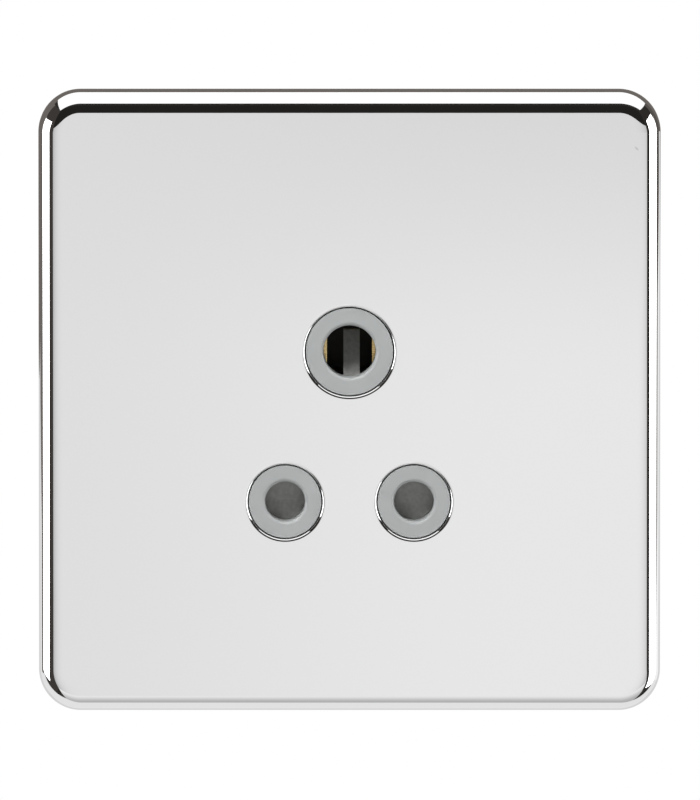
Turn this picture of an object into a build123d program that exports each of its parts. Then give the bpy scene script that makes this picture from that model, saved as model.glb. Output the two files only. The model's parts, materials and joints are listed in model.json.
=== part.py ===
import os

from build123d import *

os.makedirs("parts", exist_ok=True)

# Three-pin round socket: a polished plate clipped over a moulded frame, with a grey insert,
# a sprung shutter, brass contacts and drilled terminals in a housing that goes into the wall box.
# The wall is the plane Y = 0, +Z is up, and the front faces -Y.
# "out" is a distance from the wall towards the viewer, so Y = -out, and it is negative in the wall.

# Front plate
PLATE_SIDE = 92.0
PLATE_OUT = 7.0
PLATE_RIM_OUT = 0.3
PLATE_WALL = 1.2
CORNER_RADIUS = 6.2
EDGE_RADIUS = 3.6
HOLE_ROUNDING = 0.55

# Pins of the plug that fits this socket, and where they go
PIN_SPACING = 19.05
EARTH_RISE = 22.23
PIN_ROW_Z = -14.8
EARTH_PIN_R = 3.53
EARTH_PIN_LENGTH = 20.6
POLE_PIN_R = 2.54
POLE_PIN_LENGTH = 15.4

# Bosses of the insert
EARTH_BOSS_R = 6.44
POLE_BOSS_R = 5.36
EARTH_APERTURE_R = 3.86
POLE_APERTURE_R = 2.94
LIP_RADIUS = 0.6
BOSS_GAP = 0.1
BOSS_RECESS = 0.2
APERTURE_DEPTH = 4.6

# Support frame
FRAME_GAP = 0.5
FRAME_STEP = 0.5
SKIRT = 2.0
FIXING_SPACING = 60.3
FIXING_HOLE_R = 2.1
FIXING_HEAD_R = 4.0
FIXING_FLOOR = 1.8
FIXING_BOSS_R = 5.4
SEAT_WIDTH = 1.5
SEAT_MARGIN = 3.0
SEAT_CORNER = 4.0
RIB = 1.2
RIB_GAP = 2.5
RIB_LIFT = 0.4
WINDOW_GAP = 0.2
OPENING_GAP = 0.6
NOTCH_WIDTH = 12.0
NOTCH_DEPTH = 1.2
NOTCH_HEIGHT = 1.6
SNAP_LENGTH = 8.0
SNAP_PITCH = 50.0
SNAP_BITE = 0.35
SNAP_ROUND = 0.7
SNAP_EDGE = 0.1
WEDGE_HEIGHT = 1.0

# Insert body and shutter
INSERT_WALL = 1.6
INSERT_CORNER = 2.0
INSERT_FOOT = 3.0
INSERT_STRAP_GAP = 1.2
POST_WIDTH = 4.0
POST_DEPTH = 2.6
POST_GAP = 0.3
SHUTTER = 1.5
SHUTTER_PLAY = 0.1
SHUTTER_TRAVEL = 6.4
BLADE_COVER = 0.6
RAMP_WIDTH = 2.4
RAMP_SHIFT = 0.3
RAMP_BAR = 1.6
RAMP_ROOT = 1.8
RAMP_SIDE_GAP = 0.3
RAMP_END_GAP = 0.4
STEM_WIDTH = 7.4
STEM_GAP = 0.5
SLIDE_GAP = 0.25

# Shutter spring
SPRING_WIRE = 0.4
SPRING_RADIUS = 1.1
SPRING_TURNS = 7
SPRING_LENGTH = 12.0
SPRING_ROOM = 0.2
SPRING_BELOW_STEM = 2.3
PEG = 1.5
PEG_WIDTH = 2.6
PEG_GAP = 0.3

# Contacts and terminals
STRIP = 0.7
JAW_HEIGHT = 7.0
JAW_SETBACK = 0.8
JAW_PINCH = 0.25
JAW_END_ROUNDING = 0.15
WEB_ROOM = 0.8
WEB_BAND = 0.9
BLOCK_WIDTH = 8.0
BLOCK_HEIGHT = 9.4
BLOCK_DEPTH = 8.8
BLOCK_CLEAR = 0.4
WIRE_R = 2.2
WIRE_WALL = 1.6
WIRE_FLOOR = 1.4
TERMINAL_SCREW_R = 1.75
TERMINAL_HEAD_R = 2.9
TERMINAL_HEAD = 2.0
TERMINAL_HEAD_SUNK = 0.6
SCREW_SHARE = 0.6
SCREW_HOLE_GAP = 0.2
SCREW_TIP_GAP = 0.1
DRIVER_SLOT = 0.9
HEAD_ROUNDING = 0.3
RIVET_R = 0.9
RIVET_HEAD_R = 1.5
RIVET_HEAD = 0.55
RIVET_BITE = 1.9
RIVET_SHARE = 0.2
BLOCK_CHAMFER = 0.5
TAIL_SETBACK = 0.3
STRAP = 0.45
STRAP_WIDTH = 5.0
STRAP_REACH = 8.0
STRAP_SETBACK = 0.3
STRAP_RIVET_BITE = 1.0
STRAP_SIDE_GAP = 0.6
STRAP_FACE_GAP = 0.35

# Rear housing
FLANGE = 3.0
FLANGE_CORNER = 4.0
FLANGE_GAP = 0.75
LOBE_CORNER = 2.0
LOBE_ROUNDING = 0.8
HOUSING_WALL = 1.6
HOUSING_FLOOR = 2.2
POCKET_GAP = 0.25
HEAD_GAP = 0.4
HEAD_COLLAR = 1.1
COLLAR_REACH = 0.3
RIVET_GAP = 0.25
WIRE_ENTRY_GAP = 0.4
HOUSING_SCREW_R = 1.45
HOUSING_SCREW_GAP = 0.25
HOUSING_SCREW_TIP = 0.4
HOUSING_HEAD_R = 2.7
HOUSING_HEAD = 1.7
HOUSING_HEAD_ROUNDING = 0.7
CROSS_LENGTH = 3.2
CROSS_WIDTH = 0.6
CROSS_DEPTH = 0.8
PILLAR_R = 3.1
PILLAR_MARGIN = 0.4
PILLAR_ROOF = 0.8
PILLAR_FROM_TOP = 4.5
PILLAR_FROM_FOOT = 5.0
FIT = 0.05

# Cuts run this far past the faces that they go through, and added pieces this far into their roots.
PAST = 1.0
ROOT = 0.5
LAP = 3.0

# Levels that follow from the sizes above
earth_z = PIN_ROW_Z + EARTH_RISE
boss_out = PLATE_OUT - BOSS_RECESS
shutter_top_out = boss_out - APERTURE_DEPTH
insert_front = shutter_top_out + INSERT_WALL
shutter_front = shutter_top_out - SHUTTER_PLAY
shutter_back = shutter_front - SHUTTER
flange_front = shutter_back - SHUTTER_PLAY
flange_back = flange_front - FLANGE
jaw_out = flange_front - JAW_SETBACK
plate_inside = PLATE_OUT - PLATE_WALL
panel_front = plate_inside - FRAME_STEP
panel_back = insert_front
plate_inner_side = PLATE_SIDE - 2 * PLATE_WALL
frame_side = plate_inner_side - 2 * FRAME_GAP

EARTH = {
    "x": 0.0,
    "z": earth_z,
    "up": 1,
    "pin_r": EARTH_PIN_R,
    "pin_length": EARTH_PIN_LENGTH,
    "boss_r": EARTH_BOSS_R,
    "aperture_r": EARTH_APERTURE_R,
}
LINE = {
    "x": PIN_SPACING / 2,
    "z": PIN_ROW_Z,
    "up": -1,
    "pin_r": POLE_PIN_R,
    "pin_length": POLE_PIN_LENGTH,
    "boss_r": POLE_BOSS_R,
    "aperture_r": POLE_APERTURE_R,
}
NEUTRAL = {**LINE, "x": -PIN_SPACING / 2}
POLES = {"line": LINE, "neutral": NEUTRAL, "earth": EARTH}


def wall_plane(out):
    """The plane parallel to the wall, this far out from it."""
    return Plane.XZ.offset(out)


def slab(x_ends, z_ends, out_ends, mode=Mode.ADD):
    """A square-edged block between two limits along each axis, in the part being made."""
    middle = (sum(x_ends) / 2, -sum(out_ends) / 2, sum(z_ends) / 2)
    sizes = [abs(b - a) for a, b in (x_ends, out_ends, z_ends)]
    with Locations(middle):
        Box(*sizes, mode=mode)


def rod(radius, x, z, out_ends, mode=Mode.ADD):
    """A round bar square to the wall, in the part being made."""
    middle = (x, -sum(out_ends) / 2, z)
    with Locations(Location(middle, (90, 0, 0))):
        Cylinder(radius, abs(out_ends[1] - out_ends[0]), mode=mode)


def jaw_half(pole):
    """Half the gap between a clip's jaws."""
    return pole["pin_r"] - JAW_PINCH


def clip_half(pole):
    """Half the width of a clip over its jaws."""
    return jaw_half(pole) + STRIP


def pocket_half(pole):
    """Half the width of the housing's pocket for a clip and its terminal block."""
    return max(clip_half(pole), BLOCK_WIDTH / 2) + POCKET_GAP


def web_out(pole):
    """Front of a clip's web, just behind the tip of a plugged-in pin."""
    return PLATE_OUT - pole["pin_length"] - WEB_ROOM


def tail_out(pole):
    """Back of a clip's web and tail, which is the floor of its pocket."""
    return web_out(pole) - STRIP


def rear_out(pole):
    """Rear face of the housing behind a pole."""
    return tail_out(pole) - HOUSING_FLOOR


def block_front(pole):
    """Front face of a pole's terminal block."""
    return web_out(pole) + BLOCK_DEPTH


def bore_out(pole):
    """Axis of the wire hole in a terminal block."""
    return block_front(pole) - WIRE_WALL - WIRE_R


def block_z(pole, share):
    """A height in a terminal block, from 0 beside the clip to 1 at the wire's mouth."""
    near = pole["z"] + pole["up"] * (JAW_HEIGHT / 2 + BLOCK_CLEAR)
    return near + pole["up"] * BLOCK_HEIGHT * share


def screw_end_out(pole):
    """Outer end of a terminal screw's head, with the screw backed off clear of the wire hole."""
    return rear_out(pole) - TERMINAL_HEAD + TERMINAL_HEAD_SUNK


# The insert reaches down past the open shutter, and up to just under the earth strap.
strap_z = block_z(EARTH, 1) - STRAP_SETBACK
insert_top = strap_z - STRAP - INSERT_STRAP_GAP
blade_half = POLE_APERTURE_R + BLADE_COVER
blade_low = PIN_ROW_Z - blade_half - SHUTTER_TRAVEL
insert_bottom = blade_low - SLIDE_GAP - INSERT_FOOT
insert_mid_z = (insert_top + insert_bottom) / 2
housing_bottom = block_z(LINE, 1) - POCKET_GAP - HOUSING_WALL
housing_top = block_z(EARTH, 1) + POCKET_GAP + HOUSING_WALL

# Across the socket, from the wall screws inwards: the housing's flange, its screws, the insert
flange_half = FIXING_SPACING / 2 - FIXING_BOSS_R - FLANGE_GAP
pillar_x = flange_half - PILLAR_R - PILLAR_MARGIN
insert_half = pillar_x - PILLAR_R - PILLAR_MARGIN
pillar_zs = (insert_top - PILLAR_FROM_TOP, insert_bottom + PILLAR_FROM_FOOT)
pillars = [(x, z) for x in (-pillar_x, pillar_x) for z in pillar_zs]
fixings = [(-FIXING_SPACING / 2, 0), (FIXING_SPACING / 2, 0)]

# Polished front plate: a shallow pressing with rolled edges and three soft-edged holes
with BuildPart() as plate_hollow:
    with BuildSketch(wall_plane(PLATE_RIM_OUT)):
        RectangleRounded(plate_inner_side, plate_inner_side, CORNER_RADIUS - PLATE_WALL)
    extrude(amount=plate_inside - PLATE_RIM_OUT)
    fillet(plate_hollow.faces().sort_by(Axis.Y)[0].edges(), EDGE_RADIUS - PLATE_WALL)

with BuildPart() as snap_ridge:
    ridge_x = plate_inner_side / 2 + SNAP_ROUND - SNAP_BITE
    with Locations((ridge_x, -(PLATE_RIM_OUT + SNAP_EDGE + SNAP_ROUND), 0)):
        Cylinder(SNAP_ROUND, SNAP_LENGTH)

with BuildPart() as front_plate:
    with BuildSketch(wall_plane(PLATE_RIM_OUT)):
        RectangleRounded(PLATE_SIDE, PLATE_SIDE, CORNER_RADIUS)
    extrude(amount=PLATE_OUT - PLATE_RIM_OUT)
    fillet(front_plate.faces().sort_by(Axis.Y)[0].edges(), EDGE_RADIUS)
    add(plate_hollow.part, mode=Mode.SUBTRACT)
    for pole in POLES.values():
        hole_r = pole["boss_r"] + BOSS_GAP
        rod(hole_r, pole["x"], pole["z"], (plate_inside - PAST, PLATE_OUT + PAST), Mode.SUBTRACT)
    hole_edges = front_plate.faces().sort_by(Axis.Y)[0].edges().filter_by(lambda e: e.is_closed)
    fillet(hole_edges, HOLE_ROUNDING)
    for turn in range(4):
        for shift in (-SNAP_PITCH / 2, SNAP_PITCH / 2):
            add(snap_ridge.part.moved(Rot(0, 90 * turn, 0) * Pos(0, 0, shift)))

# Support frame: a moulded tray under the plate, screwed to the wall box, with wedges for the plate's snaps
with BuildPart() as snap_wedge:
    wedge_xs = (frame_side / 2 - ROOT, frame_side / 2 + SNAP_BITE)
    wedge_low = PLATE_RIM_OUT + 2 * (SNAP_EDGE + SNAP_ROUND)
    slab(wedge_xs, (-SNAP_LENGTH / 2, SNAP_LENGTH / 2), (wedge_low, wedge_low + WEDGE_HEIGHT))

with BuildPart() as support_frame:
    with BuildSketch(wall_plane(0)):
        RectangleRounded(frame_side, frame_side, CORNER_RADIUS - PLATE_WALL - FRAME_GAP)
    extrude(amount=panel_front)
    fillet(support_frame.faces().sort_by(Axis.Y)[0].edges(), EDGE_RADIUS - PLATE_WALL)
    with BuildSketch(wall_plane(0)):
        tray_side = frame_side - 2 * SKIRT
        RectangleRounded(tray_side, tray_side, CORNER_RADIUS - PLATE_WALL - FRAME_GAP - SKIRT)
    extrude(amount=panel_back, mode=Mode.SUBTRACT)
    # raised ring that the plate lies on
    seat_side = FIXING_SPACING + 2 * (FIXING_HEAD_R + SEAT_MARGIN)
    seat_inner = seat_side - 2 * SEAT_WIDTH
    with BuildSketch(wall_plane(panel_front)):
        RectangleRounded(seat_side, seat_side, SEAT_CORNER)
        RectangleRounded(seat_inner, seat_inner, SEAT_CORNER - SEAT_WIDTH, mode=Mode.SUBTRACT)
    extrude(amount=plate_inside - panel_front)
    # stiffening ribs, and the place between them for the insert
    rib_ends = (-frame_side / 2 + SKIRT, frame_side / 2 - SKIRT)
    rib_outs = (flange_front + RIB_LIFT, panel_back)
    for x in (-flange_half - RIB_GAP, flange_half + RIB_GAP):
        slab((x - RIB / 2, x + RIB / 2), rib_ends, rib_outs)
    for z in (housing_top + RIB_GAP, housing_bottom - RIB_GAP):
        slab(rib_ends, (z - RIB / 2, z + RIB / 2), rib_outs)
    window_xs = (-insert_half - WINDOW_GAP, insert_half + WINDOW_GAP)
    window_zs = (insert_bottom - WINDOW_GAP, insert_top + WINDOW_GAP)
    slab(window_xs, window_zs, (0, panel_back), Mode.SUBTRACT)
    # pillars for the housing screws, and bosses for the two wall screws
    for x, z in pillars:
        rod(PILLAR_R, x, z, (flange_front, panel_back + ROOT))
        rod(HOUSING_SCREW_R + FIT, x, z, (flange_front, panel_front - PILLAR_ROOF), Mode.SUBTRACT)
    for x, z in fixings:
        rod(FIXING_BOSS_R, x, z, (0, panel_front))
        rod(FIXING_HEAD_R, x, z, (FIXING_FLOOR, panel_front), Mode.SUBTRACT)
        rod(FIXING_HOLE_R, x, z, (0, panel_front), Mode.SUBTRACT)
    # one opening for the three bosses, and a slot for the earth strap
    with BuildSketch(wall_plane(panel_back - PAST)):
        for pole in POLES.values():
            with Locations((pole["x"], pole["z"])):
                Circle(pole["boss_r"] + OPENING_GAP)
        make_hull()
    extrude(amount=panel_front - panel_back + 2 * PAST, mode=Mode.SUBTRACT)
    slot_xs = (-STRAP_WIDTH / 2 - STRAP_SIDE_GAP, STRAP_WIDTH / 2 + STRAP_SIDE_GAP)
    slot_zs = (strap_z - STRAP - STRAP_FACE_GAP, strap_z + STRAP_FACE_GAP)
    slab(slot_xs, slot_zs, (panel_back - PAST, panel_front + PAST), Mode.SUBTRACT)
    # notch in the lower edge for a blade that levers the plate off
    notch_zs = (-frame_side / 2 - PAST, -frame_side / 2 + NOTCH_DEPTH)
    slab((-NOTCH_WIDTH / 2, NOTCH_WIDTH / 2), notch_zs, (-PAST, NOTCH_HEIGHT), Mode.SUBTRACT)
    for turn in range(4):
        for shift in (-SNAP_PITCH / 2, SNAP_PITCH / 2):
            add(snap_wedge.part.moved(Rot(0, 90 * turn, 0) * Pos(0, 0, shift)))

# Grey insert: three bosses on a plate, with the shutter's track behind it
with BuildPart() as socket_insert:
    with BuildSketch(wall_plane(flange_front)):
        with Locations((0, insert_mid_z)):
            RectangleRounded(2 * insert_half, insert_top - insert_bottom, INSERT_CORNER)
    extrude(amount=insert_front - flange_front)
    track_outs = (flange_front, shutter_top_out)
    stem_half = STEM_WIDTH / 2 + SLIDE_GAP
    cross_half = PIN_SPACING / 2 + blade_half + SLIDE_GAP
    slab((-stem_half, stem_half), (blade_low, earth_z), track_outs, Mode.SUBTRACT)
    cross_zs = (blade_low - SLIDE_GAP, PIN_ROW_Z + blade_half + SHUTTER_PLAY)
    slab((-cross_half, cross_half), cross_zs, track_outs, Mode.SUBTRACT)
    ramp_room = pocket_half(EARTH)
    ramp_zs = (earth_z - EARTH_APERTURE_R - PAST, earth_z + EARTH_APERTURE_R + POCKET_GAP)
    slab((-ramp_room, ramp_room), ramp_zs, track_outs, Mode.SUBTRACT)
    # trough for the front half of the spring, and the peg that it stands on
    stem_top = earth_z - EARTH_APERTURE_R - STEM_GAP
    spring_top = stem_top - SPRING_BELOW_STEM
    peg_top = spring_top - SPRING_LENGTH
    trough = SPRING_RADIUS + SPRING_WIRE / 2 + SPRING_ROOM
    spring_out = (shutter_front + shutter_back) / 2
    trough_zs = (peg_top, spring_top + SPRING_ROOM)
    slab((-trough, trough), trough_zs, (flange_front, spring_out + trough), Mode.SUBTRACT)
    peg_xs = (-PEG_WIDTH / 2, PEG_WIDTH / 2)
    slab(peg_xs, (peg_top - PEG, peg_top), (flange_front + SHUTTER_PLAY, insert_front))
    # posts that hold the terminal blocks down in the housing
    for pole in (LINE, NEUTRAL):
        post_xs = (pole["x"] - POST_WIDTH / 2, pole["x"] + POST_WIDTH / 2)
        post_high = blade_low - SLIDE_GAP - POST_GAP
        post_low = max(insert_bottom, block_z(pole, 1))
        slab(post_xs, (post_low, post_high), (block_front(pole), flange_front + ROOT))
    post_xs = (-POST_WIDTH / 2, POST_WIDTH / 2)
    post_zs = (insert_top - POST_DEPTH, insert_top)
    slab(post_xs, post_zs, (block_front(EARTH) + STRAP, flange_front + ROOT))
    for pole in POLES.values():
        rod(pole["boss_r"], pole["x"], pole["z"], (insert_front - ROOT, boss_out))
        through = (flange_front - PAST, boss_out + PAST)
        rod(pole["aperture_r"], pole["x"], pole["z"], through, Mode.SUBTRACT)
    boss_faces = socket_insert.faces().filter_by(Axis.Y).group_by(Axis.Y)[0]
    lips = [boss.edges().sort_by(SortBy.LENGTH)[0] for boss in boss_faces]
    fillet(lips, LIP_RADIUS)

# Shutter: two blades on a sprung stem, opened by the earth pin pushing on a sloping bar
with BuildPart() as shutter:
    blade_ends = PIN_SPACING / 2 + blade_half
    slab(
        (-STEM_WIDTH / 2, STEM_WIDTH / 2),
        (PIN_ROW_Z, stem_top),
        (shutter_back, shutter_front),
    )
    slab(
        (-blade_ends, blade_ends),
        (PIN_ROW_Z - blade_half, PIN_ROW_Z + blade_half),
        (shutter_back, shutter_front),
    )
    fillet(shutter.edges().filter_by(Axis.Y), SLIDE_GAP)
    slab(
        (-trough, trough),
        (peg_top - PEG - PEG_GAP, spring_top),
        (shutter_back, shutter_front),
        Mode.SUBTRACT,
    )
    # the earth pin leads the others, and has pushed the bar right down when they reach the blades
    ramp_top = earth_z - EARTH_PIN_R - RAMP_END_GAP / 2 + SHUTTER_TRAVEL
    ramp_deep = shutter_front - (EARTH_PIN_LENGTH - POLE_PIN_LENGTH)
    slope = (ramp_top - stem_top) / (shutter_front - ramp_deep)
    underside = ramp_top - slope * (shutter_back - ramp_deep + RAMP_BAR)
    with BuildSketch(Plane.YZ.offset(RAMP_SHIFT)):
        with BuildLine():
            Polyline(
                (-shutter_front, stem_top),
                (-ramp_deep, ramp_top),
                (-ramp_deep + RAMP_BAR, ramp_top),
                (-shutter_back, underside),
                (-shutter_back, stem_top - RAMP_ROOT),
                (-shutter_front, stem_top - RAMP_ROOT),
                close=True,
            )
        make_face()
    extrude(amount=RAMP_WIDTH / 2, both=True)

# Coil spring that stands on the peg and lifts the shutter
with BuildPart() as shutter_spring:
    coil_low = peg_top + SPRING_WIRE / 2 + FIT
    coil_high = spring_top - SPRING_WIRE / 2 - FIT
    with BuildLine() as coil:
        Helix(
            pitch=(coil_high - coil_low) / SPRING_TURNS,
            height=coil_high - coil_low,
            radius=SPRING_RADIUS,
            center=(0, -spring_out, coil_low),
        )
    with BuildSketch(Plane(coil.line @ 0, z_dir=coil.line % 0)):
        Circle(SPRING_WIRE / 2)
    sweep(path=coil.line, is_frenet=True)


def contact_clip(pole):
    """Folded brass clip: two sprung jaws, a web that joins them at one end, and a tail."""
    gap = jaw_half(pole)
    clip_xs = (pole["x"] - clip_half(pole), pole["x"] + clip_half(pole))
    gap_xs = (pole["x"] - gap, pole["x"] + gap)
    clip_zs = (pole["z"] - JAW_HEIGHT / 2, pole["z"] + JAW_HEIGHT / 2)
    with BuildPart() as clip:
        slab(clip_xs, clip_zs, (tail_out(pole), jaw_out))
        bends = clip.edges().filter_by(Axis.Z).group_by(Axis.Y)[-1]
        fillet(bends, STRIP)
        slab(gap_xs, clip_zs, (web_out(pole), jaw_out), Mode.SUBTRACT)
        jaw_ends = clip.edges().filter_by(Axis.Z).group_by(Axis.Y)[0]
        fillet(jaw_ends, JAW_END_ROUNDING)
        tail_zs = sorted((pole["z"], block_z(pole, 1) - pole["up"] * TAIL_SETBACK))
        tail_half = min(gap, BLOCK_WIDTH / 2)
        tail_xs = (pole["x"] - tail_half, pole["x"] + tail_half)
        slab(tail_xs, tail_zs, (tail_out(pole), web_out(pole)))
        free_z = pole["z"] - pole["up"] * JAW_HEIGHT / 2
        web_z = pole["z"] + pole["up"] * (JAW_HEIGHT / 2 - WEB_BAND)
        slab(gap_xs, sorted((free_z, web_z)), (tail_out(pole), web_out(pole)), Mode.SUBTRACT)
        screw_z = block_z(pole, SCREW_SHARE)
        rivet_z = block_z(pole, RIVET_SHARE)
        through = (tail_out(pole) - PAST, web_out(pole) + PAST)
        rod(TERMINAL_SCREW_R + SCREW_HOLE_GAP, pole["x"], screw_z, through, Mode.SUBTRACT)
        rod(RIVET_R + FIT, pole["x"], rivet_z, through, Mode.SUBTRACT)
    return clip.part


def terminal_block(pole):
    """Brass block with a blind hole for the wire, and the screw's hole crossing it from behind."""
    with BuildPart() as block:
        xs = (pole["x"] - BLOCK_WIDTH / 2, pole["x"] + BLOCK_WIDTH / 2)
        zs = sorted((block_z(pole, 0), block_z(pole, 1)))
        slab(xs, zs, (web_out(pole), block_front(pole)))
        chamfer(block.edges().filter_by(Axis.Z), BLOCK_CHAMFER)
        wire_length = BLOCK_HEIGHT - WIRE_FLOOR
        wire_mid = block_z(pole, 1) - pole["up"] * wire_length / 2
        with Locations((pole["x"], -bore_out(pole), wire_mid)):
            Cylinder(WIRE_R, wire_length, mode=Mode.SUBTRACT)
        screw_outs = (web_out(pole), bore_out(pole))
        screw_z = block_z(pole, SCREW_SHARE)
        rivet_z = block_z(pole, RIVET_SHARE)
        rod(TERMINAL_SCREW_R, pole["x"], screw_z, screw_outs, Mode.SUBTRACT)
        rivet_outs = (web_out(pole), web_out(pole) + RIVET_BITE + SCREW_TIP_GAP)
        rod(RIVET_R + FIT, pole["x"], rivet_z, rivet_outs, Mode.SUBTRACT)
        if pole is EARTH:
            strap_hole = (block_front(pole) - STRAP_RIVET_BITE - SCREW_TIP_GAP, block_front(pole))
            rod(RIVET_R + FIT, pole["x"], rivet_z, strap_hole, Mode.SUBTRACT)
    return block.part


def terminal_screw(pole):
    """Slotted cheese-head screw, backed off so that its tip is clear of the wire hole."""
    x = pole["x"]
    z = block_z(pole, SCREW_SHARE)
    head_end = screw_end_out(pole)
    tip = bore_out(pole) - WIRE_R - SCREW_TIP_GAP
    with BuildPart() as screw:
        rod(TERMINAL_SCREW_R - FIT, x, z, (head_end + ROOT, tip))
        rod(TERMINAL_HEAD_R, x, z, (head_end, head_end + TERMINAL_HEAD))
        rims = screw.faces().sort_by(Axis.Y)[-1].edges()
        fillet(rims, HEAD_ROUNDING)
        slot_xs = (x - TERMINAL_HEAD_R - PAST, x + TERMINAL_HEAD_R + PAST)
        slot_zs = (z - DRIVER_SLOT / 2, z + DRIVER_SLOT / 2)
        slab(slot_xs, slot_zs, (head_end - PAST, head_end + DRIVER_SLOT), Mode.SUBTRACT)
    return screw.part


def rivet(x, z, seat_out, shank, head_side):
    """Round-headed rivet. The head stands on the seat, and the shank goes the other way."""
    with BuildPart() as pin:
        rod(RIVET_R, x, z, (seat_out, seat_out - head_side * shank))
        rod(RIVET_HEAD_R, x, z, (seat_out, seat_out + head_side * RIVET_HEAD))
        heads = pin.faces().filter_by(Axis.Y).sort_by(Axis.Y)
        top = heads[0] if head_side > 0 else heads[-1]
        fillet(top.edges(), RIVET_HEAD * 0.6)
    return pin.part


contacts = {name: contact_clip(pole) for name, pole in POLES.items()}
blocks = {name: terminal_block(pole) for name, pole in POLES.items()}
screws = {name: terminal_screw(pole) for name, pole in POLES.items()}
tail_rivets = [
    rivet(pole["x"], block_z(pole, RIVET_SHARE), tail_out(pole), STRIP + RIVET_BITE, -1)
    for pole in POLES.values()
]
strap_rivet_z = block_z(EARTH, RIVET_SHARE)
strap_rivet = rivet(0, strap_rivet_z, block_front(EARTH) + STRAP, STRAP + STRAP_RIVET_BITE, 1)

# Earth strap: from the earth terminal out through the frame, to press on the plate from inside
with BuildPart() as earth_strap:
    leg = -block_front(EARTH)
    finger = -plate_inside
    leg_low = block_z(EARTH, 0) + STRAP_SETBACK
    with BuildSketch(Plane.YZ):
        with BuildLine():
            Polyline(
                (leg, leg_low),
                (leg, strap_z),
                (finger + STRAP, strap_z),
                (finger + STRAP, strap_z + STRAP_REACH),
                (finger, strap_z + STRAP_REACH),
                (finger, strap_z - STRAP),
                (leg - STRAP, strap_z - STRAP),
                (leg - STRAP, leg_low),
                close=True,
            )
        make_face()
    extrude(amount=STRAP_WIDTH / 2, both=True)
    rivet_hole = (block_front(EARTH) - PAST, block_front(EARTH) + PAST)
    rod(RIVET_R + FIT, 0, strap_rivet_z, rivet_hole, Mode.SUBTRACT)

# Rear housing: a flange behind the insert, and stepped lobes for the contacts and terminals
earth_half = pocket_half(EARTH) + HOUSING_WALL
earth_low = earth_z - JAW_HEIGHT / 2 - POCKET_GAP - HOUSING_WALL
pole_half = PIN_SPACING / 2 + pocket_half(LINE) + HOUSING_WALL
pole_high = PIN_ROW_Z + JAW_HEIGHT / 2 + POCKET_GAP + HOUSING_WALL
slot_deep = ramp_deep - RAMP_BAR - RAMP_END_GAP


def lobe(half, low, high, rear):
    """Part of the housing that stands back into the wall box, with soft rear edges."""
    with BuildPart() as block:
        with BuildSketch(wall_plane(flange_front)):
            with Locations((0, (low + high) / 2)):
                RectangleRounded(2 * half, high - low, LOBE_CORNER)
        extrude(amount=rear - flange_front)
        fillet(block.faces().sort_by(Axis.Y)[-1].edges(), LOBE_ROUNDING)
    return block.part


lobes = [
    lobe(earth_half, earth_low, housing_top, rear_out(EARTH)),
    lobe(pole_half, housing_bottom, pole_high, rear_out(LINE)),
    lobe(earth_half - PAST, pole_high - LAP, earth_low + LAP, slot_deep - HOUSING_WALL),
]
with BuildPart() as rear_housing:
    flange_mid_z = (housing_top + housing_bottom) / 2
    with BuildSketch(wall_plane(flange_front)):
        with Locations((0, flange_mid_z)):
            RectangleRounded(2 * flange_half, housing_top - housing_bottom, FLANGE_CORNER)
    extrude(amount=-FLANGE)
    add(lobes)
    for pole in POLES.values():
        collar = TERMINAL_HEAD_R + HEAD_GAP + HEAD_COLLAR
        collar_outs = (rear_out(pole) + PAST, screw_end_out(pole) + COLLAR_REACH)
        rod(collar, pole["x"], block_z(pole, SCREW_SHARE), collar_outs)
    # gap between the line and neutral lobes
    gap_half = PIN_SPACING / 2 - pocket_half(LINE) - HOUSING_WALL
    gap_zs = (housing_bottom - PAST, block_z(LINE, 0) - PAST)
    slab((-gap_half, gap_half), gap_zs, (rear_out(LINE) - LAP, flange_back), Mode.SUBTRACT)
    for pole in POLES.values():
        x = pole["x"]
        z = pole["z"]
        up = pole["up"]
        pocket_xs = (x - pocket_half(pole), x + pocket_half(pole))
        clip_end = z - up * (JAW_HEIGHT / 2 + POCKET_GAP)
        pocket_zs = sorted((clip_end, block_z(pole, 1) + up * POCKET_GAP))
        slab(pocket_xs, pocket_zs, (tail_out(pole), flange_front + PAST), Mode.SUBTRACT)
        # way in for the wire, well for the screw, and room for the rivet's head
        with Locations((x, -bore_out(pole), block_z(pole, 1) + up * HOUSING_WALL)):
            Cylinder(WIRE_R + WIRE_ENTRY_GAP, 2 * HOUSING_WALL, mode=Mode.SUBTRACT)
        well_outs = (screw_end_out(pole) - PAST, tail_out(pole) + ROOT)
        rod(TERMINAL_HEAD_R + HEAD_GAP, x, block_z(pole, SCREW_SHARE), well_outs, Mode.SUBTRACT)
        head_outs = (tail_out(pole) - RIVET_HEAD - RIVET_GAP, tail_out(pole) + ROOT)
        rod(RIVET_HEAD_R + RIVET_GAP, x, block_z(pole, RIVET_SHARE), head_outs, Mode.SUBTRACT)
    # slot that the sloping bar drops through, and the back half of the spring's trough
    slot_half = RAMP_WIDTH / 2 + RAMP_SHIFT + RAMP_SIDE_GAP
    slot_zs = (underside - SHUTTER_TRAVEL - RAMP_END_GAP, earth_z)
    slab((-slot_half, slot_half), slot_zs, (slot_deep, flange_front + PAST), Mode.SUBTRACT)
    trough_outs = (spring_out - trough, flange_front + PAST)
    slab((-trough, trough), trough_zs, trough_outs, Mode.SUBTRACT)
    for x, z in pillars:
        through = (flange_back - PAST, flange_front + PAST)
        rod(HOUSING_SCREW_R + HOUSING_SCREW_GAP, x, z, through, Mode.SUBTRACT)

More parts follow.
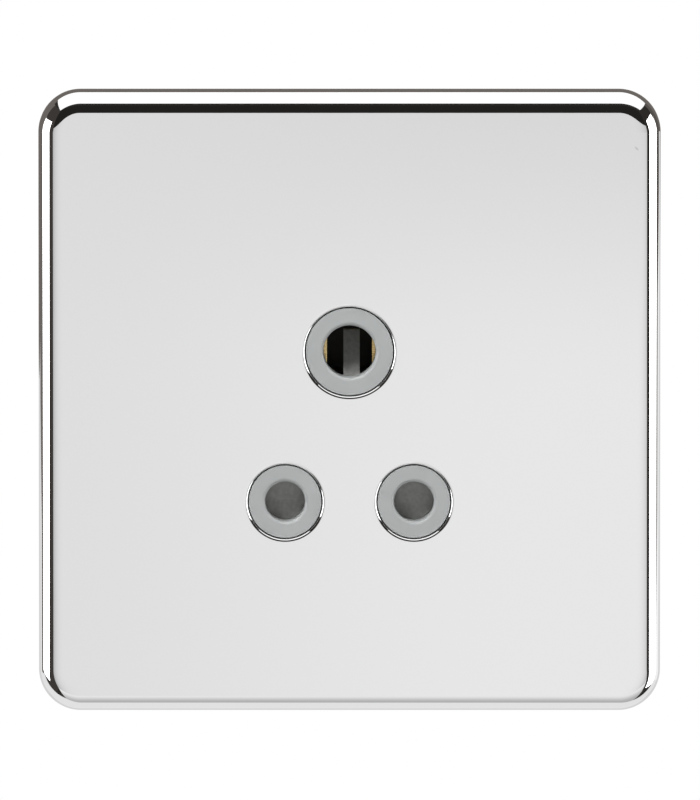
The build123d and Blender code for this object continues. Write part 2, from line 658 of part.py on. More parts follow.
# Four pan-head screws from behind, through the flange into the frame's pillars
with BuildPart() as housing_screws:
    for x, z in pillars:
        rod(HOUSING_SCREW_R, x, z, (flange_back, panel_front - PILLAR_ROOF - HOUSING_SCREW_TIP))
        rod(HOUSING_HEAD_R, x, z, (flange_back - HOUSING_HEAD, flange_back))
    fillet(housing_screws.faces().sort_by(Axis.Y)[-4:].edges(), HOUSING_HEAD_ROUNDING)
    for x, z in pillars:
        head_out = flange_back - HOUSING_HEAD
        for half_x, half_z in ((CROSS_LENGTH / 2, CROSS_WIDTH / 2), (CROSS_WIDTH / 2, CROSS_LENGTH / 2)):
            recess_xs = (x - half_x, x + half_x)
            recess_zs = (z - half_z, z + half_z)
            slab(recess_xs, recess_zs, (head_out - PAST, head_out + CROSS_DEPTH), Mode.SUBTRACT)

nodes = {
    "front_plate": front_plate.part,
    "support_frame": support_frame.part,
    "socket_insert": socket_insert.part,
    "shutter": shutter.part,
    "shutter_spring": shutter_spring.part,
    "rear_housing": rear_housing.part,
    "earth_strap": earth_strap.part,
    "earth_strap_rivet": strap_rivet,
    "contact_rivets": Compound(children=tail_rivets),
    "housing_screws": housing_screws.part,
}
for name in POLES:
    nodes[name + "_contact"] = contacts[name]
    nodes[name + "_terminal"] = blocks[name]
    nodes[name + "_terminal_screw"] = screws[name]

for name, node in nodes.items():
    node.label = name
    export_step(node, f"parts/{name}.step")
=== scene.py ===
"""The looks of the round pin socket: a mirror-bright plate, grey mouldings, brass and plated steel."""

import json
import math

import bmesh
import bpy
from mathutils import Matrix, Vector
from mathutils.geometry import tessellate_polygon


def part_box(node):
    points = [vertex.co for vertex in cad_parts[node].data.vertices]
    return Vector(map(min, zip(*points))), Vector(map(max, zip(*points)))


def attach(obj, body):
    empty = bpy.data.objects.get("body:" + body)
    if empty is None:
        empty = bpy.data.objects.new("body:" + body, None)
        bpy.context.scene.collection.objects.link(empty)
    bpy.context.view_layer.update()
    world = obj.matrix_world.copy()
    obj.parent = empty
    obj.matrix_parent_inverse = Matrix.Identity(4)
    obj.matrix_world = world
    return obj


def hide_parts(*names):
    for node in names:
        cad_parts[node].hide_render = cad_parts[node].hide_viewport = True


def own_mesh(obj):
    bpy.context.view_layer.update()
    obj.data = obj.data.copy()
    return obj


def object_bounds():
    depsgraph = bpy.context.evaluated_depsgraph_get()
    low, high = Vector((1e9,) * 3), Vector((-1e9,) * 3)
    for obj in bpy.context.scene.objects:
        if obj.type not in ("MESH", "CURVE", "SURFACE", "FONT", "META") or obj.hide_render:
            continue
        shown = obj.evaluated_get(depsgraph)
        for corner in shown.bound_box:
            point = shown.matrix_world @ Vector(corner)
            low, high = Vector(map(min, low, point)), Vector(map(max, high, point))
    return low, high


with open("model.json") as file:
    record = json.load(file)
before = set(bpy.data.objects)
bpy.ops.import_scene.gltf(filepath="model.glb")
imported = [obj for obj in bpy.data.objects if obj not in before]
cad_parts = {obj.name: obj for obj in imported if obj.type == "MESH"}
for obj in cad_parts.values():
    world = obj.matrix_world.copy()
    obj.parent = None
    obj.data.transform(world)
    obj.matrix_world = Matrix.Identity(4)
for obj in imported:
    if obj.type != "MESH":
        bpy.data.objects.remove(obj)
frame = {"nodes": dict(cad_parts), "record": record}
cad_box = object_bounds()
mounts = {m["name"]: m for m in frame["record"]["mounts"]}

MM = 0.001

# Photograph: frame in pixels, where the middle of the plate's face is in it, and its scale there
PHOTO_WIDTH = 700
PHOTO_HEIGHT = 800
PLATE_MIDDLE_PX = (349.5, 401.9)
PX_PER_MM = 6.766

# Camera: distances in metres, and its sensor in millimetres
CAMERA_DISTANCE = 2.5
CAMERA_ELEVATION = math.radians(4.0)
CAMERA_REACH = 50.0
SENSOR = 36.0

# Front plate, in millimetres: what its box and the mounts don't say
PLATE_WALL = 1.2
CORNER_RADIUS = 6.2
EDGE_RADIUS = 3.6
HOLE_ROUNDING = 0.55
HOLE_RADII = {"line_pin": 5.46, "neutral_pin": 5.46, "earth_pin": 6.54}

# Snap ridges inside the plate's sides, in millimetres
SNAP_LENGTH = 8.0
SNAP_PITCH = 50.0
SNAP_BITE = 0.35
SNAP_ROUND = 0.7
SNAP_OUT = 1.1

# Faint scratch on the plate's face: place and reach in millimetres, the share of its reach that is
# fully dull, and how much of the colour is left there
SCRATCH_X = 42.4
SCRATCH_Z = 37.5
SCRATCH_SLANT = math.radians(-45)
SCRATCH_REACH = (0.5, 0.6, 0.2)
SCRATCH_CORE = 0.3
SCRATCH_DULL = 0.75

# Fineness of the round surfaces
CORNER_STEPS = 40
EDGE_STEPS = 32
HOLE_STEPS = 160
LIP_STEPS = 16
SNAP_STEPS = 10
COIL_STEPS = 28
WIRE_STEPS = 10

# Spring: its wire in millimetres, and its turns
SPRING_WIRE = 0.4
SPRING_TURNS = 7

# Letters on the back: which pin each stands behind, and how far back the housing reaches there
LETTERS = {"L": ("line_pin", 12.1), "N": ("neutral_pin", 12.1), "E": ("earth_pin", 17.3)}
LETTER_HEIGHT = 3.4
LETTER_RISE = 0.22

# A capital's height as a share of the type's size, and how near points are joined, in millimetres
CAPITAL_SHARE = 0.7
LETTER_WELD = 0.001


def smooth_mesh(name, points, faces, corner_normals):
    """An object whose shading follows the true surface, from points in millimetres."""
    mesh = bpy.data.meshes.new(name)
    mesh.from_pydata([Vector(p) * MM for p in points], [], faces)
    mesh.polygons.foreach_set("use_smooth", [True] * len(faces))
    mesh.normals_split_custom_set([n for face in corner_normals for n in face])
    mesh.validate(clean_customdata=False)
    obj = bpy.data.objects.new(name, mesh)
    bpy.context.scene.collection.objects.link(obj)
    return obj


class Shell:
    """Points, faces and the true normal at each face's corners."""

    def __init__(self):
        self.points = []
        self.faces = []
        self.normals = []

    def ring(self, points):
        """Adds points and gives their numbers."""
        start = len(self.points)
        self.points.extend(points)
        return list(range(start, len(self.points)))

    def face(self, corners, normals):
        """One face, turned so that it looks the way its normals do."""
        a, b, c = (Vector(self.points[i]) for i in corners[:3])
        flat = (b - a).cross(c - a)
        if flat.dot(sum((Vector(n) for n in normals), Vector())) < 0:
            corners = corners[::-1]
            normals = normals[::-1]
        self.faces.append(tuple(corners))
        self.normals.append([Vector(n) for n in normals])

    def band(self, ring_a, normals_a, ring_b, normals_b):
        """Closed strip between two rings of as many points."""
        count = len(ring_a)
        for i in range(count):
            j = (i + 1) % count
            self.face(
                [ring_a[i], ring_a[j], ring_b[j], ring_b[i]],
                [normals_a[i], normals_a[j], normals_b[j], normals_b[i]],
            )

    def flat(self, rings, normal):
        """Flat face inside the first ring, with the others as holes in it."""
        indices = [i for ring in rings for i in ring]
        loops = [[Vector(self.points[i]) for i in ring] for ring in rings]
        for corners in tessellate_polygon(loops):
            self.face([indices[i] for i in corners], [normal] * 3)


def rounded_square(half, radius):
    """Points and outward directions (x, z) round a square with round corners."""
    points = []
    for quarter in range(4):
        for step in range(CORNER_STEPS + 1):
            angle = math.pi / 2 * (quarter + step / CORNER_STEPS)
            side = Vector((math.cos(angle), math.sin(angle)))
            middle = math.pi / 2 * quarter + math.pi / 4
            corner = Vector((math.cos(middle), math.sin(middle))) * math.sqrt(2) * (half - radius)
            points.append((corner + side * radius, side))
    return points


def turned(points, out, lean):
    """Ring at a distance out, and its normals leaning from sideways (0) to the front (pi / 2)."""
    ring = [(p.x, -out, p.y) for p, _ in points]
    normals = [
        (s.x * math.cos(lean), -math.sin(lean), s.y * math.cos(lean))
        for _, s in points
    ]
    return ring, normals


def circle(x, z, radius):
    """Points and directions towards the middle, round a hole."""
    points = []
    for step in range(HOLE_STEPS):
        angle = 2 * math.pi * step / HOLE_STEPS
        side = Vector((math.cos(angle), math.sin(angle)))
        points.append((Vector((x, z)) + side * radius, -side))
    return points


def lofted(shell, sections):
    """Bands between sections, each of points, a distance out and a lean. Gives the first and last ring."""
    made = []
    for points, out, lean in sections:
        ring, normals = turned(points, out, lean)
        made.append((shell.ring(ring), normals))
    for (ring_a, normals_a), (ring_b, normals_b) in zip(made, made[1:]):
        shell.band(ring_a, normals_a, ring_b, normals_b)
    return made[0][0], made[-1][0]


def rolled_edge(half, corner, edge, rim_out, face_out):
    """Sections up the side of a shallow tray and round its edge, on to its flat face."""
    sections = [(rounded_square(half, corner), rim_out, 0.0)]
    for step in range(EDGE_STEPS + 1):
        lean = math.pi / 2 * step / EDGE_STEPS
        inset = edge * (1 - math.cos(lean))
        out = face_out - edge * (1 - math.sin(lean))
        sections.append((rounded_square(half - inset, corner - inset), out, lean))
    return sections


def soft_hole(x, z, radius, face_out, inside_out):
    """Sections from the plate's face, round the edge of a hole and down its wall."""
    sections = []
    for step in range(LIP_STEPS + 1):
        lean = math.pi / 2 * (1 - step / LIP_STEPS)
        wide = radius + HOLE_ROUNDING * (1 - math.cos(lean))
        out = face_out - HOLE_ROUNDING * (1 - math.sin(lean))
        sections.append((circle(x, z, wide), out, lean))
    sections.append((circle(x, z, radius), inside_out, 0.0))
    return sections


def snap_ridges(shell, wall):
    """Half-round ridges inside the plate's sides, which snap behind the frame's wedges."""
    reach = math.acos((SNAP_ROUND - SNAP_BITE) / SNAP_ROUND)
    for turn in range(4):
        along = Vector((math.cos(math.pi / 2 * turn), math.sin(math.pi / 2 * turn)))
        across = Vector((-along.y, along.x))
        for shift in (-SNAP_PITCH / 2, SNAP_PITCH / 2):
            ends = []
            for end in (-SNAP_LENGTH / 2, SNAP_LENGTH / 2):
                ring = []
                sides = []
                for step in range(SNAP_STEPS + 1):
                    angle = reach * (2 * step / SNAP_STEPS - 1)
                    inward = SNAP_ROUND * math.cos(angle) - (SNAP_ROUND - SNAP_BITE)
                    spot = along * (wall - inward) + across * (shift + end)
                    ring.append((spot.x, -(SNAP_OUT + SNAP_ROUND * math.sin(angle)), spot.y))
                    side = -along * math.cos(angle)
                    sides.append((side.x, -math.sin(angle), side.y))
                cap = across * (1 if end > 0 else -1)
                indices = shell.ring(ring)
                shell.flat([indices], (cap.x, 0, cap.y))
                ends.append((indices, sides))
            (low, low_sides), (high, high_sides) = ends
            for i in range(SNAP_STEPS):
                shell.face(
                    [low[i], low[i + 1], high[i + 1], high[i]],
                    [low_sides[i], low_sides[i + 1], high_sides[i + 1], high_sides[i]],
                )
            back = (along.x, 0, along.y)
            shell.face([low[0], low[-1], high[-1], high[0]], [back] * 4)


def make_plate():
    """The polished plate as one closed shell, with exact shading on its round edges."""
    low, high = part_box("front_plate")
    half = high.x / MM
    face_out = -low.y / MM
    rim_out = -high.y / MM
    inside_out = face_out - PLATE_WALL
    inner_half = half - PLATE_WALL
    inner_corner = CORNER_RADIUS - PLATE_WALL
    inner_edge = EDGE_RADIUS - PLATE_WALL
    shell = Shell()
    rim, face_edge = lofted(shell, rolled_edge(half, CORNER_RADIUS, EDGE_RADIUS, rim_out, face_out))
    inside = rolled_edge(inner_half, inner_corner, inner_edge, rim_out, inside_out)
    inside = [([(p, -s) for p, s in points], out, -lean) for points, out, lean in inside]
    inner_rim, inside_edge = lofted(shell, inside)
    face_holes = []
    inside_holes = []
    for name, radius in HOLE_RADII.items():
        x, _, z = (v / MM for v in mounts[name]["pos_m"])
        top, bottom = lofted(shell, soft_hole(x, z, radius, face_out, inside_out))
        face_holes.append(top)
        inside_holes.append(bottom)
    shell.flat([face_edge, *face_holes], (0, -1, 0))
    shell.flat([inside_edge, *inside_holes], (0, 1, 0))
    back = [(0, 1, 0)] * len(rim)
    shell.band(rim, back, inner_rim, back)
    snap_ridges(shell, inner_half)
    return smooth_mesh("polished_plate", shell.points, shell.faces, shell.normals)


def make_spring():
    """Coil spring behind the insert, as a round wire wound into a helix."""
    low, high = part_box("shutter_spring")
    middle = (low + high) / 2 / MM
    wire = SPRING_WIRE / 2
    radius = (high.x - low.x) / MM / 2 - wire
    bottom = low.z / MM + wire
    rise = (high.z - low.z) / MM - SPRING_WIRE
    shell = Shell()
    steps = SPRING_TURNS * COIL_STEPS
    rings = []
    for step in range(steps + 1):
        angle = 2 * math.pi * step / COIL_STEPS
        out = Vector((math.cos(angle), math.sin(angle), 0))
        spot = Vector((middle.x, middle.y, bottom + rise * step / steps)) + out * radius
        sides = []
        for turn in range(WIRE_STEPS):
            around = 2 * math.pi * turn / WIRE_STEPS
            sides.append(out * math.cos(around) + Vector((0, 0, math.sin(around))))
        rings.append((shell.ring([tuple(spot + s * wire) for s in sides]), sides))
    for (ring_a, sides_a), (ring_b, sides_b) in zip(rings, rings[1:]):
        shell.band(ring_a, sides_a, ring_b, sides_b)
    for (ring, _), ahead in ((rings[0], -1), (rings[-1], 1)):
        shell.flat([ring], (0, ahead, 0))
    return smooth_mesh("coil_spring", shell.points, shell.faces, shell.normals)


def make_letter(letter, pin, face_y):
    """Raised terminal letter on the back of the housing, read from behind."""
    curve = bpy.data.curves.new("letter_shape", "FONT")
    curve.body = letter
    curve.size = LETTER_HEIGHT * MM / CAPITAL_SHARE
    curve.align_x = "CENTER"
    curve.align_y = "CENTER"
    curve.extrude = LETTER_RISE * MM
    shape = bpy.data.objects.new("letter_shape", curve)
    bpy.context.scene.collection.objects.link(shape)
    bpy.context.view_layer.update()
    mesh = bpy.data.meshes.new_from_object(shape.evaluated_get(bpy.context.evaluated_depsgraph_get()))
    bpy.data.objects.remove(shape)
    joined = bmesh.new()
    joined.from_mesh(mesh)
    bmesh.ops.remove_doubles(joined, verts=joined.verts, dist=LETTER_WELD * MM)
    bmesh.ops.recalc_face_normals(joined, faces=joined.faces)
    joined.to_mesh(mesh)
    joined.free()
    x, _, z = mounts[pin]["pos_m"]
    upright = Matrix.Rotation(math.pi, 4, "Z") @ Matrix.Rotation(math.pi / 2, 4, "X")
    mesh.transform(Matrix.Translation((x, face_y * MM, z)) @ upright)
    piece = bpy.data.objects.new("letter_" + letter, mesh)
    bpy.context.scene.collection.objects.link(piece)
    return piece


# Materials. Each is worked out in the part's own coordinates, with its sizes in millimetres.
# A noise is spread from the first of these values to the second.
NOISE_LOW = 0.3
NOISE_HIGH = 0.7


class Paint:
    """A principled material and the few nodes that vary it over the surface."""

    def __init__(self, name, color, roughness, metallic=0.0):
        self.material = bpy.data.materials.new(name)
        self.material.use_nodes = True
        self.nodes = self.material.node_tree.nodes
        self.links = self.material.node_tree.links
        self.shader = self.nodes["Principled BSDF"]
        self.shader.inputs["Base Color"].default_value = (*color, 1)
        self.shader.inputs["Roughness"].default_value = roughness
        self.shader.inputs["Metallic"].default_value = metallic
        self.place = self.nodes.new("ShaderNodeTexCoord").outputs["Object"]

    def vector(self, operation, value, other=None):
        """One step of sums with what another node gives, and with fixed numbers if there are any."""
        node = self.nodes.new("ShaderNodeVectorMath")
        node.operation = operation
        self.links.new(value, node.inputs[0])
        if other:
            node.inputs[1].default_value = other
        return node

    def noise(self, per_mm, detail=2.0, stretch=(1, 1, 1)):
        """Soft noise with about this many grains to the millimetre."""
        scaled = self.vector("MULTIPLY", self.place, [s * per_mm / MM for s in stretch])
        texture = self.nodes.new("ShaderNodeTexNoise")
        texture.inputs["Scale"].default_value = 1.0
        texture.inputs["Detail"].default_value = detail
        self.links.new(scaled.outputs[0], texture.inputs["Vector"])
        return texture.outputs["Fac"]

    def vary_color(self, value, low, high):
        """The noise as a colour between two."""
        ramp = self.nodes.new("ShaderNodeValToRGB")
        ramp.color_ramp.elements[0].position = NOISE_LOW
        ramp.color_ramp.elements[0].color = (*low, 1)
        ramp.color_ramp.elements[1].position = NOISE_HIGH
        ramp.color_ramp.elements[1].color = (*high, 1)
        self.links.new(value, ramp.inputs["Fac"])
        self.links.new(ramp.outputs["Color"], self.shader.inputs["Base Color"])

    def vary_roughness(self, value, low, high):
        """The noise as a roughness between two."""
        ranged = self.nodes.new("ShaderNodeMapRange")
        ranged.inputs["From Min"].default_value = NOISE_LOW
        ranged.inputs["From Max"].default_value = NOISE_HIGH
        ranged.inputs["To Min"].default_value = low
        ranged.inputs["To Max"].default_value = high
        self.links.new(value, ranged.inputs["Value"])
        self.links.new(ranged.outputs["Result"], self.shader.inputs["Roughness"])

    def emboss(self, value, height, strength):
        """The noise as a fine relief, of a height in millimetres."""
        bump = self.nodes.new("ShaderNodeBump")
        bump.inputs["Distance"].default_value = height * MM
        bump.inputs["Strength"].default_value = strength
        self.links.new(value, bump.inputs["Height"])
        self.links.new(bump.outputs["Normal"], self.shader.inputs["Normal"])

    def scratch(self, spot, slant, reach):
        """A short slanting mark round a spot, where the colour is duller."""
        away = self.vector("SUBTRACT", self.place, [v * MM for v in spot]).outputs[0]
        leaning = self.nodes.new("ShaderNodeVectorRotate")
        leaning.rotation_type = "Y_AXIS"
        leaning.inputs["Angle"].default_value = slant
        self.links.new(away, leaning.inputs["Vector"])
        shares = self.vector("MULTIPLY", leaning.outputs[0], [1 / (r * MM) for r in reach]).outputs[0]
        fade = self.nodes.new("ShaderNodeMapRange")
        fade.inputs["From Min"].default_value = SCRATCH_CORE
        fade.inputs["To Min"].default_value = SCRATCH_DULL
        self.links.new(self.vector("LENGTH", shares).outputs["Value"], fade.inputs["Value"])
        tint = self.nodes.new("ShaderNodeVectorMath")
        tint.operation = "SCALE"
        tint.inputs[0].default_value = self.shader.inputs["Base Color"].default_value[:3]
        self.links.new(fade.outputs["Result"], tint.inputs["Scale"])
        self.links.new(tint.outputs[0], self.shader.inputs["Base Color"])


def chrome_paint():
    """Bright chrome, with one faint scratch near the top right corner."""
    face_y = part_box("front_plate")[0].y / MM
    paint = Paint("polished_chrome", (0.865, 0.865, 0.865), 0.03, 1.0)
    paint.vary_roughness(paint.noise(0.12, detail=4.0), 0.015, 0.04)
    paint.scratch((SCRATCH_X, face_y, SCRATCH_Z), SCRATCH_SLANT, SCRATCH_REACH)
    return paint.material


def moulding_paint(name, color, roughness, shade=0.06, cloud=0.35):
    """Moulded plastic with a fine spark-eroded grain and a faint cloudiness."""
    paint = Paint(name, color, roughness)
    dark = [c * (1 - shade) for c in color]
    light = [c * (1 + shade) for c in color]
    paint.vary_color(paint.noise(cloud, detail=3.0), dark, light)
    paint.vary_roughness(paint.noise(1.2, detail=3.0), roughness - 0.06, roughness + 0.06)
    paint.emboss(paint.noise(5.0), height=0.012, strength=0.5)
    return paint.material


def brass_paint():
    """Rolled brass, with level streaks and an uneven tone."""
    paint = Paint("rolled_brass", (0.80, 0.60, 0.28), 0.28, 1.0)
    paint.vary_color(paint.noise(0.25, detail=4.0), (0.74, 0.53, 0.22), (0.87, 0.67, 0.34))
    paint.vary_roughness(paint.noise(1.0, detail=4.0, stretch=(1, 1, 6)), 0.2, 0.36)
    paint.emboss(paint.noise(2.0, detail=3.0, stretch=(1, 1, 8)), height=0.01, strength=0.4)
    return paint.material


def steel_paint(name, color, roughness):
    """Plated or drawn steel, with a fine uneven grain."""
    paint = Paint(name, color, roughness, 1.0)
    dark = [c * 0.9 for c in color]
    light = [c * 1.06 for c in color]
    paint.vary_color(paint.noise(0.6, detail=3.0), dark, light)
    paint.vary_roughness(paint.noise(2.5, detail=3.0), roughness - 0.08, roughness + 0.08)
    paint.emboss(paint.noise(6.0), height=0.006, strength=0.4)
    return paint.material


paints = {
    "polished_plate": chrome_paint(),
    "insert_moulding": moulding_paint("grey_moulding", (0.395, 0.407, 0.407), 0.36, 0.03),
    "shutter_moulding": moulding_paint("shutter_grey", (0.38, 0.382, 0.362), 0.42, 0.12, 1.8),
    "frame_moulding": moulding_paint("frame_charcoal", (0.045, 0.046, 0.05), 0.5),
    "housing_moulding": moulding_paint("housing_charcoal", (0.06, 0.061, 0.065), 0.48),
    "brass": brass_paint(),
    "plated_steel": steel_paint("zinc_plate", (0.63, 0.63, 0.61), 0.32),
    "spring_wire": steel_paint("spring_steel", (0.55, 0.55, 0.55), 0.25),
}

for part in frame["record"]["subparts"]:
    node = frame["nodes"][part["node"]]
    node.data.materials.clear()
    node.data.materials.append(paints[part["material_slot"]])


def dress(piece, body, slot, node=None):
    """Gives a new piece its finish and the body it moves with, and hides the node it stands for."""
    piece.data.materials.clear()
    piece.data.materials.append(paints[slot])
    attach(piece, body)
    if node:
        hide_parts(node)


def squeeze_with_shutter(spring):
    """Gives the spring a mesh of its own."""
    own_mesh(spring)


dress(make_plate(), "socket", "polished_plate", "front_plate")
spring = make_spring()
dress(spring, "socket", "spring_wire", "shutter_spring")
squeeze_with_shutter(spring)
for letter, (pin, face_y) in LETTERS.items():
    dress(make_letter(letter, pin, face_y), "socket", "housing_moulding")


# Studio: soft boxes, cards and dark flags stand round the part, and are what its polish shows.
# Each is drawn on a wall of a room, as seen from the part, in shares of the distance to that wall.
ROOM = 3.0
WALLS = {
    "left": ((-1, 0, 0), (0, 1, 0), (0, 0, 1)),
    "right": ((1, 0, 0), (0, 1, 0), (0, 0, 1)),
    "front": ((0, -1, 0), (1, 0, 0), (0, 0, 1)),
    "back": ((0, 1, 0), (1, 0, 0), (0, 0, 1)),
    "below": ((0, 0, -1), (1, 0, 0), (0, 1, 0)),
    "above": ((0, 0, 1), (1, 0, 0), (0, 1, 0)),
}

# Edges that two panels share: the top of the front card, the edge of the painted shade on the sheet, and
# the horizon
CARD_TOP = ((-1.4, 0.08), (0.0, 0.16), (1.6, 0.24))
SHADE_EDGE = ((-2.5, -0.66), (2.5, 0.43))
HORIZON = ((-1.0, -0.09), (1.0, -0.03))

# Light and tint of the panels
DARK_GLOW = 0.03
GREY_GLOW = 0.16
PALE_GLOW = 0.87
TOP_GLOW = 1.2
SIDE_GLOW = 3.5
WARM_DARK = (1.0, 0.9, 0.82)
WHITE = (1.0, 1.0, 1.0)

# How far a panel stands in from its wall, as a share of the room, to cover what is behind it
LOW_LAYER = 0.01
REAR_LAYER = 0.015
BOX_LAYER = 0.03

# Floor: half its side and how far it is below the part, in metres, its grey and its own light
FLOOR_HALF = 1.3
FLOOR_DROP = 0.16
FLOOR_GREY = 0.5
FLOOR_ROUGHNESS = 0.9
FLOOR_GLOW = 0.5

# Lamps: place and size in metres, and power in watts
LAMPS = {
    "front": ((-0.3, -0.68, 0.92), 0.45, 11),
    "rear": ((0.5, 1.2, 0.9), 0.8, 9),
    "rear_fill": ((-0.9, 1.0, 0.3), 0.9, 5),
}


def panel(name, wall, corners, glow=1.0, tint=WHITE, nearer=0.0):
    """Flat panel on a wall of the studio. The camera looks past it. Gives its material."""
    ahead, first, second = (Vector(v) for v in WALLS[wall])
    reach = ROOM * (1 - nearer)
    mesh = bpy.data.meshes.new(name)
    spots = [(ahead + first * u + second * v) * reach for u, v in corners]
    mesh.from_pydata(spots, [], [tuple(range(len(spots)))])
    obj = bpy.data.objects.new(name, mesh)
    bpy.context.scene.collection.objects.link(obj)
    material = bpy.data.materials.new(name)
    material.use_nodes = True
    nodes = material.node_tree.nodes
    nodes.remove(nodes["Principled BSDF"])
    light = nodes.new("ShaderNodeEmission")
    light.inputs["Color"].default_value = (*tint, 1)
    light.inputs["Strength"].default_value = glow
    material.node_tree.links.new(light.outputs[0], nodes["Material Output"].inputs["Surface"])
    mesh.materials.append(material)
    obj.visible_camera = False
    return material


class Shading:
    """Makes a panel's glow vary with the place on it, in shares of the room."""

    def __init__(self, material):
        self.nodes = material.node_tree.nodes
        self.links = material.node_tree.links
        place = self.nodes.new("ShaderNodeTexCoord").outputs["Object"]
        split = self.nodes.new("ShaderNodeSeparateXYZ")
        self.links.new(place, split.inputs[0])
        self.place = [self.math("DIVIDE", split.outputs[i], ROOM) for i in range(3)]

    def feed(self, socket, value):
        """Sets a socket to a number, or to what another node gives."""
        if isinstance(value, (int, float)):
            socket.default_value = value
        else:
            self.links.new(value, socket)

    def math(self, operation, a, b):
        """One step of sums with two values."""
        node = self.nodes.new("ShaderNodeMath")
        node.operation = operation
        self.feed(node.inputs[0], a)
        self.feed(node.inputs[1], b)
        return node.outputs[0]

    def ramp(self, value, low, high, start, end):
        """Goes smoothly from start to end as the value goes from low to high."""
        node = self.nodes.new("ShaderNodeMapRange")
        node.interpolation_type = "SMOOTHSTEP"
        node.inputs["From Min"].default_value = low
        node.inputs["From Max"].default_value = high
        for name, given in (("Value", value), ("To Min", start), ("To Max", end)):
            self.feed(node.inputs[name], given)
        return node.outputs["Result"]

    def fall(self, value, amount):
        """1 at the middle, less by an amount that grows with the square of the distance."""
        square = self.math("MULTIPLY", value, value)
        return self.math("SUBTRACT", 1.0, self.math("MULTIPLY", square, amount))

    def glow(self, value):
        """Gives the panel this light."""
        self.links.new(value, self.nodes["Emission"].inputs["Strength"])


def make_front_card():
    """Pale card below and beside the camera, dimmer to the sides and towards its top edge."""
    corners = [(-1.4, -1.0), (1.6, -1.0), *reversed(CARD_TOP)]
    card = Shading(panel("front_card", "front", corners))
    across, _, height = card.place
    lower = card.ramp(across, low=-0.04, high=0.02, start=0.84, end=0.92)
    upper = card.ramp(across, low=-0.04, high=0.02, start=0.815, end=0.785)
    level = card.ramp(height, low=-0.070, high=-0.034, start=lower, end=upper)
    left = card.fall(card.math("MINIMUM", across, 0.0), 0.36)
    right = card.fall(card.math("MAXIMUM", across, 0.0), 0.19)
    card.glow(card.math("MULTIPLY", card.math("MULTIPLY", level, left), right))


def make_floor_cards():
    """Pale glowing sheet under the part. Its glow is dimmed towards its near end, a painted shade, up to a
    slanting edge.
    """
    near_corners = [(-2.5, -1.0), (2.5, -1.0), *reversed(SHADE_EDGE)]
    near = Shading(panel("near_sheet", "below", near_corners))
    _, depth, _ = near.place
    # Painted shade: the sheet's glow falls from 0.905 to 0.48 across it
    near.glow(near.ramp(depth, low=-0.95, high=-0.12, start=0.905, end=0.48))
    panel("far_sheet", "below", [*SHADE_EDGE, (2.5, 2.5), (-2.5, 2.5)], PALE_GLOW)


def make_dark_surround():
    """Dark over the camera, greyer behind the part, down to a low horizon over a pale sheet."""
    panel("front_flag", "front", [*CARD_TOP, (1.6, 1.0), (-1.4, 1.0)], 0.018, WARM_DARK)
    ceiling = [(-2.5, -1.0), (2.5, -1.0), (2.5, 0.6), (-2.5, 0.6)]
    panel("ceiling", "above", ceiling, DARK_GLOW, WARM_DARK)
    rear_ceiling = [(-2.5, 0.6), (2.5, 0.6), (2.5, 2.0), (-2.5, 2.0)]
    panel("rear_ceiling", "above", rear_ceiling, 0.15, WARM_DARK)
    panel("rear_wall", "back", [*HORIZON, (1.0, 1.0), (-1.0, 1.0)], GREY_GLOW, WARM_DARK)
    panel("rear_sheet", "back", [(-1.0, -1.0), (1.0, -1.0), *reversed(HORIZON)], 0.72)


def make_left_side():
    """A dark flag that runs to a point below, with grey and then pale behind it."""
    front_edge = [(-1.4, 1.0), (-1.4, 0.6), (-0.92, -0.07), (-0.9, -1.0)]
    rear_edge = [(-0.09, -1.0), (0.2, -0.18), (0.3, 1.0)]
    panel("left_flag", "left", [*front_edge, *rear_edge], 0.05, WARM_DARK)
    point = [(-1.0, -0.9), (-1.0, -0.09), (-0.47, -0.235)]
    panel("left_point", "below", point, DARK_GLOW, WARM_DARK, LOW_LAYER)
    grey = [(0.3, 1.0), (0.25, -0.22), (0.58, -0.17), (0.6, -0.095), (1.0, -0.098), (1.0, 1.0)]
    panel("left_rear", "left", grey, GREY_GLOW, WARM_DARK, REAR_LAYER)
    pale = [(0.2, -0.18), (0.2, -0.087), (1.0, -0.098), (1.0, -1.0), (-0.1, -1.0)]
    panel("left_low", "left", pale, PALE_GLOW, WHITE, LOW_LAYER)


def make_right_side():
    """A narrower dark flag that runs to a point below, and a thin dark one behind it."""
    front_edge = [(-1.6, 1.0), (-0.89, 0.2), (-0.76, -0.08), (-0.52, -0.6), (-0.38, -1.0)]
    rear_edge = [(0.16, -1.0), (0.25, -0.51), (0.4, 1.0)]
    panel("right_flag", "right", [*front_edge, *rear_edge], DARK_GLOW, WARM_DARK)
    point = [(1.0, -0.36), (1.0, 0.16), (0.45, -0.02)]
    panel("right_point", "below", point, DARK_GLOW, WARM_DARK, LOW_LAYER)
    thin = [(0.38, 1.0), (0.38, -0.1), (0.62, -0.094), (0.66, -0.07), (1.0, -0.07), (1.0, 1.0)]
    panel("right_rear", "right", thin, 0.1, WARM_DARK, REAR_LAYER)


def make_soft_boxes():
    """Bright panels to the left, to the right and overhead, which light the part."""
    left = [(-0.58, 0.33), (0.25, 0.36), (0.365, -0.05), (0.2, -0.18), (-0.24, -0.47)]
    panel("left_box", "left", left, SIDE_GLOW, WHITE, BOX_LAYER)
    right_front = [(-0.22, -0.78), (-0.43, -0.08), (-0.63, 0.37)]
    right_rear = [(0.2, 0.53), (0.4, 0.0), (0.3, -0.3), (0.25, -0.515)]
    panel("right_box", "right", [*right_front, *right_rear], SIDE_GLOW, WHITE, BOX_LAYER)
    top_front = [(-0.987, -0.877), (0.0, -0.70), (1.114, -0.66)]
    top_rear = [(1.12, 0.84), (0.0, 0.85), (-0.758, 0.774)]
    panel("top_box", "above", [*top_front, *top_rear], TOP_GLOW, WHITE, BOX_LAYER)


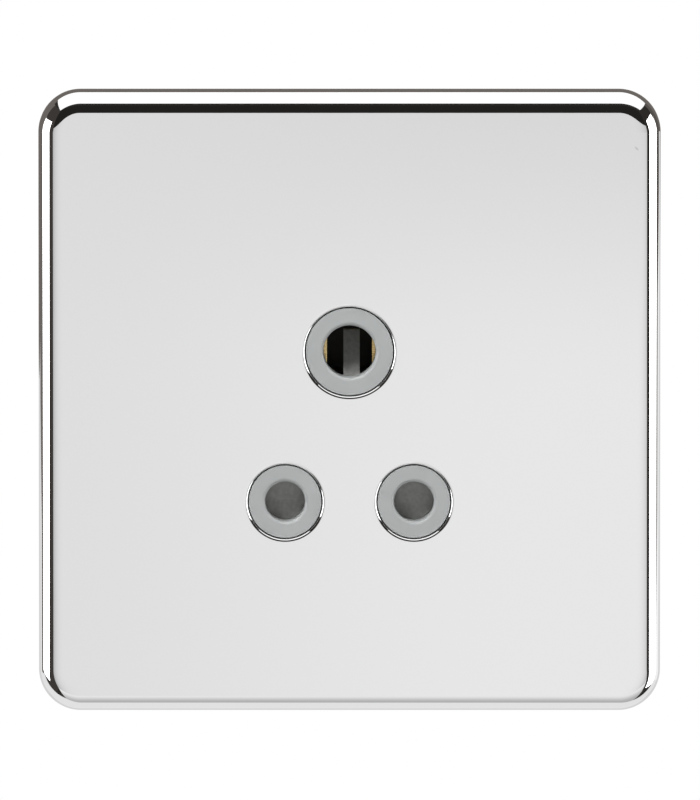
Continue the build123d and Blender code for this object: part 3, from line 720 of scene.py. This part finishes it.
def make_world():
    """Plain white all round."""
    world = bpy.data.worlds.new("studio")
    world.use_nodes = True
    world.node_tree.nodes["Background"].inputs["Color"].default_value = (1, 1, 1, 1)
    bpy.context.scene.world = world


def make_floor():
    """Plain pale floor below the part, which keeps its shadow."""
    drop = cad_box[0].z - FLOOR_DROP
    signs = [(-1, -1), (1, -1), (1, 1), (-1, 1)]
    mesh = bpy.data.meshes.new("floor")
    mesh.from_pydata([(x * FLOOR_HALF, y * FLOOR_HALF, drop) for x, y in signs], [], [(0, 1, 2, 3)])
    floor = bpy.data.objects.new("floor", mesh)
    bpy.context.scene.collection.objects.link(floor)
    material = bpy.data.materials.new("pale_floor")
    material.use_nodes = True
    nodes = material.node_tree.nodes
    links = material.node_tree.links
    shader = nodes["Principled BSDF"]
    shader.inputs["Base Color"].default_value = (FLOOR_GREY, FLOOR_GREY, FLOOR_GREY, 1)
    shader.inputs["Roughness"].default_value = FLOOR_ROUGHNESS
    shader.inputs["Emission Color"].default_value = (1, 1, 1, 1)
    path = nodes.new("ShaderNodeLightPath")
    seen = path.outputs["Is Camera Ray"]
    for ray in ("Is Glossy Ray", "Is Transmission Ray"):
        either = nodes.new("ShaderNodeMath")
        either.operation = "MAXIMUM"
        links.new(seen, either.inputs[0])
        links.new(path.outputs[ray], either.inputs[1])
        seen = either.outputs[0]
    glow = nodes.new("ShaderNodeMath")
    glow.operation = "MULTIPLY"
    glow.inputs[1].default_value = FLOOR_GLOW
    links.new(seen, glow.inputs[0])
    links.new(glow.outputs[0], shader.inputs["Emission Strength"])
    floor.data.materials.append(material)
    floor.visible_glossy = False


def make_lamp(name, place, size, power):
    """Soft lamp aimed at the part. It lights the matt parts, and the panels are what polish shows."""
    data = bpy.data.lights.new(name, "AREA")
    data.shape = "SQUARE"
    data.size = size
    data.energy = power
    lamp = bpy.data.objects.new(name, data)
    bpy.context.scene.collection.objects.link(lamp)
    lamp.location = place
    lamp.rotation_euler = (-Vector(place)).to_track_quat("-Z", "Y").to_euler()
    lamp.visible_glossy = False


def make_camera():
    """Camera before the plate and a little above it, framed as the photograph is."""
    data = bpy.data.cameras.new("camera")
    data.sensor_width = SENSOR
    tall = PHOTO_HEIGHT / PX_PER_MM * MM
    data.lens = SENSOR * CAMERA_DISTANCE / tall
    data.clip_end = CAMERA_REACH
    camera = bpy.data.objects.new("camera", data)
    bpy.context.scene.collection.objects.link(camera)
    back = Vector((0, -math.cos(CAMERA_ELEVATION), math.sin(CAMERA_ELEVATION)))
    target = Vector((0, cad_box[0].y, 0))
    camera.rotation_euler = (-back).to_track_quat("-Z", "Y").to_euler()
    camera.location = target + back * CAMERA_DISTANCE
    data.shift_x = (PHOTO_WIDTH / 2 - PLATE_MIDDLE_PX[0]) / PHOTO_HEIGHT
    data.shift_y = (PLATE_MIDDLE_PX[1] - PHOTO_HEIGHT / 2) / PHOTO_HEIGHT
    bpy.context.scene.camera = camera


make_world()
make_front_card()
make_floor_cards()
make_dark_surround()
make_left_side()
make_right_side()
make_soft_boxes()
make_floor()
for name, (place, size, power) in LAMPS.items():
    make_lamp(name, place, size, power)
make_camera()
bpy.context.scene.view_settings.view_transform = "Standard"
